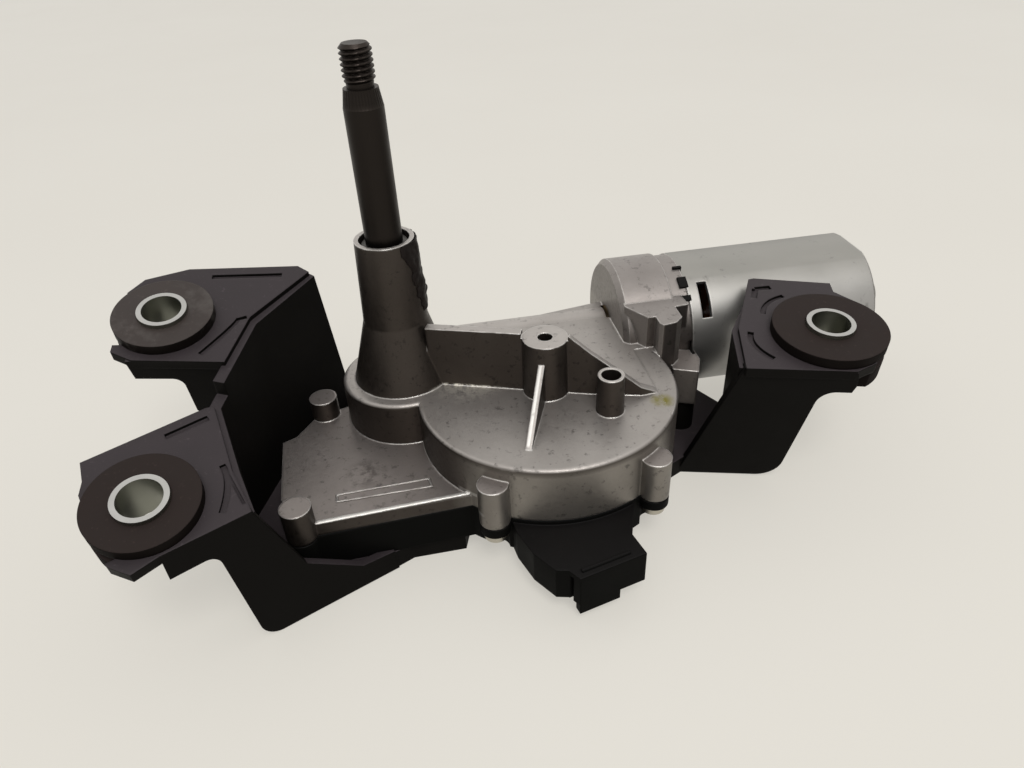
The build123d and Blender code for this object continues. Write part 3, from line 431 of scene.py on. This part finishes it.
# Colours of sides and upright faces, here and in the table below: painted shade.
RUBBER_SHADED_SIDE, SHAFT_SHADED_SIDE = (0.0065, 0.005, 0.0044), (0.026, 0.022, 0.0195)
MATERIALS = {
    "gear_housing": cast_aluminium(),
    "motor_can": drawn_can(),
    # In these calls the first colour is the top, in painted light with dust, and the second the side, in
    # painted shade.
    "mount_frame": dusty_black("frame_nylon", (0.038, 0.031, 0.034), (0.0055, 0.005, 0.0044), 0.55, 0.9),
    "gear_cover": dusty_black("cover_nylon", (0.0062, 0.0057, 0.0057), (0.0042, 0.0042, 0.0038), 0.5, 0.45),
    "cover_gasket": dusty_black("gasket_rubber", (0.02, 0.02, 0.02), (0.012, 0.012, 0.012), 0.7, 0.2),
    "grommet": dusty_black("grommet_rubber", (0.021, 0.0145, 0.0128), RUBBER_SHADED_SIDE, 0.72, 0.7),
    "left_rear_grommet": dusty_black("rubbed_rubber", (0.043, 0.034, 0.031), RUBBER_SHADED_SIDE, 0.5, 1.0, 0.55),
    "sleeve": plain_metal("sleeve_zinc", (0.62, 0.62, 0.61), 0.38, wall=(0.27, 0.275, 0.235)),
    "screws": plain_metal("screw_zinc", (0.55, 0.52, 0.45), 0.35),
    "output_shaft": plain_metal("dark_shaft_steel", (0.060, 0.050, 0.045), 0.42, grain=0.3, wall=SHAFT_SHADED_SIDE),
    "shaft_circlip": plain_metal("spring_steel", (0.12, 0.115, 0.11), 0.4),
    "thrust_washer": plain_metal("washer_steel", (0.3, 0.29, 0.28), 0.4),
    "bush": plain_metal("sintered_bronze", (0.36, 0.26, 0.15), 0.5),
    "pressed_steel": plain_metal("pressed_steel", (0.42, 0.41, 0.39), 0.35),
    "pin_steel": plain_metal("pin_steel", (0.5, 0.49, 0.47), 0.25),
    "worm_wheel": plain_dull("wheel_nylon", (0.62, 0.58, 0.47), 0.45),
    "contact_brass": plain_metal("contact_brass", (0.62, 0.48, 0.22), 0.3),
    "armature_shaft": plain_metal("armature_steel", (0.5, 0.5, 0.5), 0.22),
    "armature_core": plain_metal("core_steel", (0.16, 0.15, 0.145), 0.5),
    "windings": plain_dull("enamelled_copper", (0.32, 0.10, 0.035), 0.3),
    "commutator": plain_metal("commutator_copper", (0.55, 0.29, 0.17), 0.3),
    "thrust_pad": plain_dull("thrust_plastic", (0.7, 0.69, 0.64), 0.45),
    "brush_holder": plain_dull("holder_plastic", (0.14, 0.06, 0.03), 0.5),
    "brushes": plain_dull("brush_carbon", (0.03, 0.03, 0.03), 0.55),
    "field_magnets": plain_dull("ferrite", (0.06, 0.06, 0.06), 0.6),
    "connector_terminals": plain_metal("tinned_brass", (0.62, 0.6, 0.55), 0.3),
    "tower_grease": dark_grease(),
}
# Words in the names of the nodes that share a material; the first one that fits counts.
SHARED = {
    "grommet": "grommet", "sleeve": "sleeve", "screws": "screws", "bush": "bush", "bearing": "bush",
    "lever": "pressed_steel", "link": "pressed_steel", "pin": "pin_steel", "wheel_axle": "pin_steel",
    "contact": "contact_brass",
}


def material_of(node):
    """The material of a CAD node: its own, or the one that its kind shares."""
    if node in MATERIALS:
        return MATERIALS[node]
    return next(MATERIALS[kind] for word, kind in SHARED.items() if word in node)


for node, thing in nodes.items():
    for slot in thing.material_slots:
        slot.material = material_of(node)


# ------------------------------------------------ meshes
def piece(name, mesh, body, material):
    """A mesh as an object that rides on a body; its flat faces and sharp edges stay so."""
    thing = bpy.data.objects.new(name, mesh)
    bpy.context.collection.objects.link(thing)
    for face in mesh.polygons:
        face.use_smooth = True
    mesh.set_sharp_from_angle(angle=math.radians(SHARP_DEGREES))
    mesh.materials.clear()
    mesh.materials.append(MATERIALS[material])
    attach(thing, body)
    return thing


def welded_copy(node):
    """A bmesh of a CAD node with its shared corners joined up."""
    work = bmesh.new()
    work.from_mesh(nodes[node].data)
    bmesh.ops.remove_doubles(work, verts=work.verts, dist=1e-6)
    return work


def drop_stored_normals(mesh):
    """Takes out the normals that came with a CAD node, which don't fit faces that are cut or moved."""
    stored = mesh.attributes.get("custom_normal")
    if stored:
        mesh.attributes.remove(stored)


def finished(work, name):
    """The bmesh as a mesh, with its faces looking out."""
    mesh = bpy.data.meshes.new(name)
    bmesh.ops.recalc_face_normals(work, faces=work.faces)
    work.to_mesh(mesh)
    work.free()
    drop_stored_normals(mesh)
    return mesh


def skin(work, rings, caps=True):
    """Faces from each ring of corners to the next, and over the first and the last one."""
    for low, high in zip(rings, rings[1:]):
        for i in range(len(low)):
            j = (i + 1) % len(low)
            work.faces.new((low[i], low[j], high[j], high[i]))
    if caps:
        work.faces.new(rings[0][::-1])
        work.faces.new(rings[-1])


def about_spindle(radius, angle, z):
    """A place by its distance from the spindle's axis, its angle from +X and its height."""
    return Vector((radius * math.cos(angle), radius * math.sin(angle), z)) * MM


def soften(work, radius):
    """Rounds every edge a little."""
    bmesh.ops.bevel(work, geom=work.edges[:], offset=radius * MM, segments=2, affect="EDGES")


# ------------------------------------------------ the spindle's serrated taper and rolled thread
TAPER_FOOT, TAPER_TOP, THREAD_TOP = 34.1, 38.5, 48.4
SPINDLE_R, TAPER_R, THREAD_R, THREAD_ROOT_R = 5.0, 4.3, 3.95, 3.32
TAPER_ROWS = (0.0, 0.04, 0.12, 0.3, 0.5, 0.7, 0.88, 1.0)
SERRATIONS, SERRATION_DEPTH, SERRATION_RUN_OUT = 36, 0.09, 0.1
THREAD_PITCH, THREAD_FLANK, NECK = 1.25, 1.35, 0.9
CHAMFER, CHAMFER_SLOPE = 1.0, 0.95
TURN_STEPS, PITCH_STEPS = 108, 12


def taper_radius(share, turn):
    """The taper's radius at a share of its height and of a turn: the serrations run out at both ends."""
    depth = SERRATION_DEPTH * min(1.0, share / SERRATION_RUN_OUT, (1.0 - share) / SERRATION_RUN_OUT + 0.2)
    wave = 1 + math.cos(2 * math.pi * SERRATIONS * turn)
    return lerp((SPINDLE_R, TAPER_R), share) - depth * wave


def thread_radius(z, turn):
    """The thread's radius at a height and a share of a turn: rounded crests and roots on one helix."""
    phase = (z / THREAD_PITCH - turn) % 1.0
    crest = min(1.0, max(0.0, THREAD_FLANK * (1.0 - abs(2.0 * phase - 1.0)) - 0.1))
    start = min(1.0, max(0.0, (z - TAPER_TOP - NECK) / THREAD_PITCH))
    radius = lerp((THREAD_ROOT_R, THREAD_R), crest * start)
    return min(radius, THREAD_R - CHAMFER_SLOPE * max(0.0, z - THREAD_TOP + CHAMFER))


def spindle_end():
    """The output shaft again, with a serrated, threaded end where the plain solid has a cone and a plug."""
    rows = [(lerp((TAPER_FOOT, TAPER_TOP), share), partial(taper_radius, share)) for share in TAPER_ROWS]
    steps = round((THREAD_TOP - TAPER_TOP) / THREAD_PITCH * PITCH_STEPS)
    for step in range(steps + 1):
        z = lerp((TAPER_TOP, THREAD_TOP), step / steps)
        rows.append((z, partial(thread_radius, z)))
    work = welded_copy("output_shaft")
    whole, cut = work.verts[:] + work.edges[:] + work.faces[:], (0, 0, TAPER_FOOT * MM)
    bmesh.ops.bisect_plane(work, geom=whole, plane_co=cut, plane_no=UP, clear_outer=True)
    bmesh.ops.holes_fill(work, edges=[edge for edge in work.edges if edge.is_boundary])
    rings = []
    for z, radius_at in rows:
        ring = []
        for step in range(TURN_STEPS):
            turn = step / TURN_STEPS
            ring.append(work.verts.new(about_spindle(radius_at(turn), 2 * math.pi * turn, z)))
        rings.append(ring)
    skin(work, rings)
    shaft = piece("spindle", finished(work, "spindle"), "output", "output_shaft")
    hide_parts("output_shaft")


# ------------------------------------------------ slots moulded into the ears' top faces
# A slot's side, its width and the points that it runs through: two if it is straight, three if it is bowed.
EAR_NORMAL = {"left": Vector((0.068, -0.244, 0.967)), "right": Vector((0, -0.1, 0.995))}
EAR_SLOTS = (
    ("left", 1.7, ((-51.4, 19.8, -14.8), (-31.7, 19.1, -16.4))),
    ("left", 1.4, ((-52.1, -10.5, -22.4), (-45.5, -2.2, -20.8), (-42.9, 2.0, -19.9))),
    ("left", 1.3, ((-43.4, 1.6, -20.1), (-40.8, 2.4, -20.1))),
    ("left", 1.8, ((-59.3, -32.9, -31.6), (-49.6, -28.0, -31.0))),
    ("left", 1.5, ((-45.2, -42.7, -35.0), (-43.6, -48.3, -36.5), (-44.3, -55.9, -38.4))),
    ("left", 0.7, ((-44.6, -43.6, -35.2), (-39.5, -54.1, -38.3))),
    ("right", 1.8, ((105.3, -7.4, -28.9), (107.6, -3.0, -28.4))),
    ("right", 2.0, ((107.6, -3.0, -28.4), (112.4, -3.2, -28.5))),
    ("right", 1.5, ((104.5, -15.5, -29.7), (108.1, -10.7, -29.2), (114.1, -8.2, -29.0))),
    ("right", 1.7, ((97.6, -22.8, -30.5), (96.2, -28.6, -31.0), (98.8, -35.2, -31.7))),
)
SLOT_DEPTH, CUTTER_RISE, BOW_STEPS = 0.9, 1.5, 8


def bowed(start, middle, end):
    """Points along a curve that starts at the first, passes through the second and ends at the third."""
    bend = 2 * middle - (start + end) / 2
    shares = (step / BOW_STEPS for step in range(BOW_STEPS + 1))
    return [(1 - t) ** 2 * start + 2 * t * (1 - t) * bend + t * t * end for t in shares]


def slot_cutter(normal, width, points):
    """A bar along the points, as wide as the slot and standing through the face."""
    points = [Vector(point) for point in points]
    if len(points) == 3:
        points = bowed(*points)
    normal = normal.normalized()
    low, high = -normal * SLOT_DEPTH, normal * CUTTER_RISE
    work = bmesh.new()
    sections = []
    for i, point in enumerate(points):
        along = (points[min(i + 1, len(points) - 1)] - points[max(i - 1, 0)]).normalized()
        side = along.cross(normal).normalized() * width / 2
        corners = (low - side, low + side, high + side, high - side)
        sections.append([work.verts.new((point + corner) * MM) for corner in corners])
    skin(work, sections)
    return work


def slotted_frame():
    """The mounting frame with the slots sunk in its ears."""
    body = bpy.data.objects.new("frame_blank", finished(welded_copy("mount_frame"), "frame_blank"))
    bpy.context.collection.objects.link(body)
    for i, (side, width, points) in enumerate(EAR_SLOTS):
        work = slot_cutter(EAR_NORMAL[side], width, points)
        cutter = bpy.data.objects.new(f"slot_{i}", finished(work, f"slot_{i}"))
        bpy.context.collection.objects.link(cutter)
        cut = body.modifiers.new(f"slot_{i}", "BOOLEAN")
        cut.operation = "DIFFERENCE"
        cut.solver = "EXACT"
        cut.object = cutter
    bpy.context.view_layer.update()
    mesh = bpy.data.meshes.new_from_object(body.evaluated_get(bpy.context.evaluated_depsgraph_get()))
    for thing in [cut.object for cut in body.modifiers] + [body]:
        bpy.data.objects.remove(thing)
    mesh.name = "slotted_frame"
    drop_stored_normals(mesh)
    frame_piece = piece("slotted_frame", mesh, "housing", "mount_frame")
    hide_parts("mount_frame")


# ------------------------------------------------ the can and the joint between block and can
MOTOR_AXIS_Y, MOTOR_AXIS_Z, CAN_R = 19.5, -48.7, 21.8

# Black ends of the brush holder's tabs: each one's angle up from the front, and half its span.
TAB_TURNS = ((77.0, 1.2), (60.5, 5.0), (46.0, 2.4))
TAB_X, TAB_RADII, TAB_STEPS = (87.8, 90.6), (CAN_R - 1.5, CAN_R + 0.3), 4


def can_body():
    """The can mirrored top to bottom at its axis, so that the slot in its wall looks up to the front."""
    work = welded_copy("motor_can")
    for vert in work.verts:
        vert.co.z = 2 * MOTOR_AXIS_Z * MM - vert.co.z
    bmesh.ops.reverse_faces(work, faces=work.faces[:])
    can = piece("can_body", finished(work, "can_body"), "housing", "motor_can")
    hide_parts("motor_can")


def about_motor_axis(x, radius, degrees):
    """A place by its distances along and from the motor's axis and its angle up from the front."""
    angle = math.radians(degrees)
    y, z = MOTOR_AXIS_Y - radius * math.cos(angle), MOTOR_AXIS_Z + radius * math.sin(angle)
    return Vector((x, y, z)) * MM


def holder_tabs():
    """The tab ends, standing a little proud of the can."""
    work = bmesh.new()
    inner, outer = TAB_RADII
    profile = ((TAB_X[0], inner), (TAB_X[1], inner), (TAB_X[1], outer), (TAB_X[0], outer))
    for middle, half in TAB_TURNS:
        sections = []
        for step in range(TAB_STEPS + 1):
            degrees = lerp((middle - half, middle + half), step / TAB_STEPS)
            sections.append([work.verts.new(about_motor_axis(*corner, degrees)) for corner in profile])
        skin(work, sections)
    piece("holder_tabs", finished(work, "holder_tabs"), "housing", "gear_cover")


# ------------------------------------------------ old grease on the tower's side towards the motor
# A pair holds the value at the patch's first edge and at its last; angles are in degrees from +X.
TOWER_MOUTH_R, TOWER_WAIST_R, TOWER_WAIST_Z = 8.1, 9.2, -24.0
GREASE_Z, GREASE_TURNS = (-0.2, -21.2), (-70.0, 30.0)
GREASE_ROWS, GREASE_COLUMNS = 56, 44
GREASE_MIDDLE, GREASE_SPREAD, GREASE_FADE_FROM = (-18.0, -6.0), (40.0, 21.0), 0.72
COAT_HEIGHT, COAT_TALLEST, COAT_EDGE, COAT_THICKNESS = 0.34, 1.2, -0.05, 0.3
LUMP_HEIGHT, LUMPS_PER_DEGREE, LUMPS_PER_MM, LUMP_SEED = 0.42, 0.05, 0.22, 3.7
BLOB_HEIGHT, BLOB_TURN, BLOB_SPREAD, BLOB_Z, BLOB_DEPTH = 0.9, 6.0, 9.0, -16.4, 1.1


def grease_height(down, degrees, z):
    """How far the grease stands off the tower: a lumpy coat, thinner at its edges, and a blob low down."""
    aside = abs(degrees - lerp(GREASE_MIDDLE, down)) / lerp(GREASE_SPREAD, down)
    below = max(0.0, (down - GREASE_FADE_FROM) / (1.0 - GREASE_FADE_FROM))
    lumps = noise.fractal(Vector((degrees * LUMPS_PER_DEGREE, z * LUMPS_PER_MM, LUMP_SEED)), 1.0, 2.0, 4)
    blob = math.exp(-((degrees - BLOB_TURN) / BLOB_SPREAD) ** 2 - ((z - BLOB_Z) / BLOB_DEPTH) ** 2)
    return COAT_HEIGHT * (1.0 - aside ** 2 - below ** 2) + LUMP_HEIGHT * lumps + BLOB_HEIGHT * blob


def tower_grease():
    """A patch of grease over the tower's wall, left out where its height is under COAT_EDGE."""
    work = bmesh.new()
    grid = []
    for row in range(GREASE_ROWS + 1):
        down = row / GREASE_ROWS
        z = lerp(GREASE_Z, down)
        tower = lerp((TOWER_MOUTH_R, TOWER_WAIST_R), z / TOWER_WAIST_Z)
        line = []
        for column in range(GREASE_COLUMNS + 1):
            degrees = lerp(GREASE_TURNS, column / GREASE_COLUMNS)
            height = grease_height(down, degrees, z)
            place = about_spindle(tower + min(COAT_TALLEST, height), math.radians(degrees), z)
            line.append((work.verts.new(place), height))
        grid.append(line)
    for upper, lower in zip(grid, grid[1:]):
        for i in range(GREASE_COLUMNS):
            corners = (upper[i], upper[i + 1], lower[i + 1], lower[i])
            if max(height for vert, height in corners) > COAT_EDGE:
                work.faces.new([vert for vert, height in corners])
    bmesh.ops.delete(work, geom=[vert for vert in work.verts if not vert.link_faces], context="VERTS")
    bmesh.ops.solidify(work, geom=work.faces[:], thickness=COAT_THICKNESS * MM)
    piece("tower_grease", finished(work, "tower_grease"), "housing", "tower_grease")


# ------------------------------------------------ a low border on the plate, left blank inside
PANEL_CORNERS = ((-22.0, -35.4), (3.4, -34.4), (3.9, -38.0), (-21.8, -38.5))
PANEL_RISE, PANEL_LINE, PANEL_FLANK, PANEL_SINK, PANEL_EDGE = 0.3, 0.4, 0.25, 0.1, 0.08


def plate_panel():
    """The border as one low ridge round the panel."""
    work = bmesh.new()
    middle_x, middle_y = (sum(values) / len(PANEL_CORNERS) for values in zip(*PANEL_CORNERS))
    crest, foot = PLATE_Z + PANEL_RISE, PLATE_Z - PANEL_SINK
    profile = ((-PANEL_FLANK, foot), (0.0, crest), (PANEL_LINE, crest), (PANEL_LINE + PANEL_FLANK, foot))
    rings = []
    for inset, z in profile:
        ring = []
        for x, y in PANEL_CORNERS:
            inward = Vector((math.copysign(1, middle_x - x), math.copysign(1, middle_y - y), 0))
            ring.append(work.verts.new((Vector((x, y, z)) + inset * inward) * MM))
        rings.append(ring)
    skin(work, rings + rings[:1], caps=False)
    soften(work, PANEL_EDGE)
    piece("plate_panel", finished(work, "plate_panel"), "housing", "gear_housing")


# ------------------------------------------------ the step along the connector's top
STEP_ENDS, CONNECTOR_TOP = ((37.0, -70.5), (50.3, -67.1)), -61.5
STEP_FOOT_WIDTH, STEP_HEAD_WIDTH = 1.65, 0.77
STEP_RISE, STEP_SINK, STEP_EDGE = 0.5, 0.3, 0.1


def connector_step():
    """A bar with sloping flanks, sunk a little into the connector's top."""
    start, end = (Vector((x, y, CONNECTOR_TOP)) for x, y in STEP_ENDS)
    side = (end - start).normalized().cross(Vector(UP))
    wide, narrow = side * STEP_FOOT_WIDTH / 2, side * STEP_HEAD_WIDTH / 2
    foot, head = Vector((0, 0, -STEP_SINK)), Vector((0, 0, STEP_RISE))
    corners = (foot - wide, foot + wide, head + narrow, head - narrow)
    work = bmesh.new()
    skin(work, [[work.verts.new((point + corner) * MM) for corner in corners] for point in (start, end)])
    soften(work, STEP_EDGE)
    piece("connector_step", finished(work, "connector_step"), "housing", "gear_cover")


spindle_end()
slotted_frame()
tower_grease()
can_body()
holder_tabs()
plate_panel()
connector_step()


# ------------------------------------------------ table, room, lamp and camera
TABLE_SIZE = 6.0
TABLE = ((0.735, 0.705, 0.645), (0.775, 0.75, 0.69))
TABLE_SEEN, SEEN_SHARE = ((0.735, 0.705, 0.64), (0.775, 0.75, 0.685)), 0.62
ROOM_FRONT, ROOM_BACK, ROOM_SEEN = (0.30, 0.30, 0.32), (1.0, 0.99, 0.97), (0.82, 0.80, 0.76)
ROOM_TURN, ROOM_STRENGTH = (-0.8, 0.6), 0.98
LAMP_PLACE, LAMP_AIM = Vector((0.12, -0.75, 1.1)), Vector((0.03, 0.0, -0.04))
LAMP_SIZE, LAMP_WATTS, LAMP_COLOUR = 0.55, 9.0, (1.0, 0.98, 0.95)
CAMERA_PLACE, CAMERA_DEGREES = (5.53, -190.03, 81.84), (54.8093, 2.564, -9.8525)
FOCAL_PIXELS, PICTURE_PIXELS, SENSOR_WIDTH = 750.0, 1024.0, 36.0
NEAREST_SEEN = 5.0


def build_stage():
    """A pale table top under the motor, running on into the background."""
    rest_z = next(mount["pos_m"][2] for mount in frame["record"]["mounts"] if mount["name"] == "rest")
    bpy.ops.mesh.primitive_plane_add(size=TABLE_SIZE, location=(0, 0, rest_z))
    floor = bpy.context.object
    floor.name = "stage_floor"
    shader = Shader("stage_laminate")
    shader.put("Base Color", shader.mix(shader.noise(6.0, 3.0), *TABLE))
    shader.put("Specular IOR Level", 0.2)
    shader.roughen(shader.noise(30.0, 3.0), 0.28, 0.34)
    flat = shader.add("Emission")
    shader.feed(flat.inputs["Color"], shader.mix(shader.noise(3.0, 2.0), *TABLE_SEEN))
    share = shader.math("MULTIPLY", shader.seen_directly(), SEEN_SHARE)
    shader.blend(share, shader.bsdf, flat, shader.nodes["Material Output"])
    floor.data.materials.append(shader.material)


def build_room():
    """A pale room all round, dimmer in front of the motor."""
    world = bpy.data.worlds.new("studio")
    bpy.context.scene.world = world
    world.use_nodes = True
    tree = Tree(world.node_tree)
    lit = tree.nodes["Background"]
    towards_back = tree.between(tree.part(tree.add("TexCoord").outputs["Generated"], "Y"), *ROOM_TURN)
    tree.feed(lit.inputs["Color"], tree.ramp(towards_back, (0.0, ROOM_FRONT), (1.0, ROOM_BACK)))
    tree.feed(lit.inputs["Strength"], ROOM_STRENGTH)
    seen = tree.add("Background")
    tree.feed(seen.inputs["Color"], ROOM_SEEN)
    tree.blend(tree.seen_directly(), lit, seen, tree.nodes["World Output"])


def build_lamp():
    """One soft lamp, high up and behind the camera."""
    lamp = bpy.data.lights.new("ceiling_lamp", "AREA")
    lamp.size = LAMP_SIZE
    lamp.energy = LAMP_WATTS
    lamp.color = LAMP_COLOUR
    thing = bpy.data.objects.new("ceiling_lamp", lamp)
    thing.location = LAMP_PLACE
    thing.rotation_euler = (LAMP_AIM - LAMP_PLACE).to_track_quat("-Z", "Y").to_euler()
    bpy.context.collection.objects.link(thing)


def build_camera():
    """The photograph's point of view."""
    lens = bpy.data.cameras.new("camera")
    lens.sensor_width = SENSOR_WIDTH
    lens.lens = FOCAL_PIXELS / PICTURE_PIXELS * SENSOR_WIDTH
    lens.clip_start = NEAREST_SEEN * MM
    camera = bpy.data.objects.new("camera", lens)
    camera.location = Vector(CAMERA_PLACE) * MM
    camera.rotation_euler = [math.radians(degrees) for degrees in CAMERA_DEGREES]
    bpy.context.collection.objects.link(camera)
    bpy.context.scene.camera = camera


build_stage()
build_room()
build_lamp()
build_camera()
bpy.context.scene.view_settings.view_transform = "Standard"
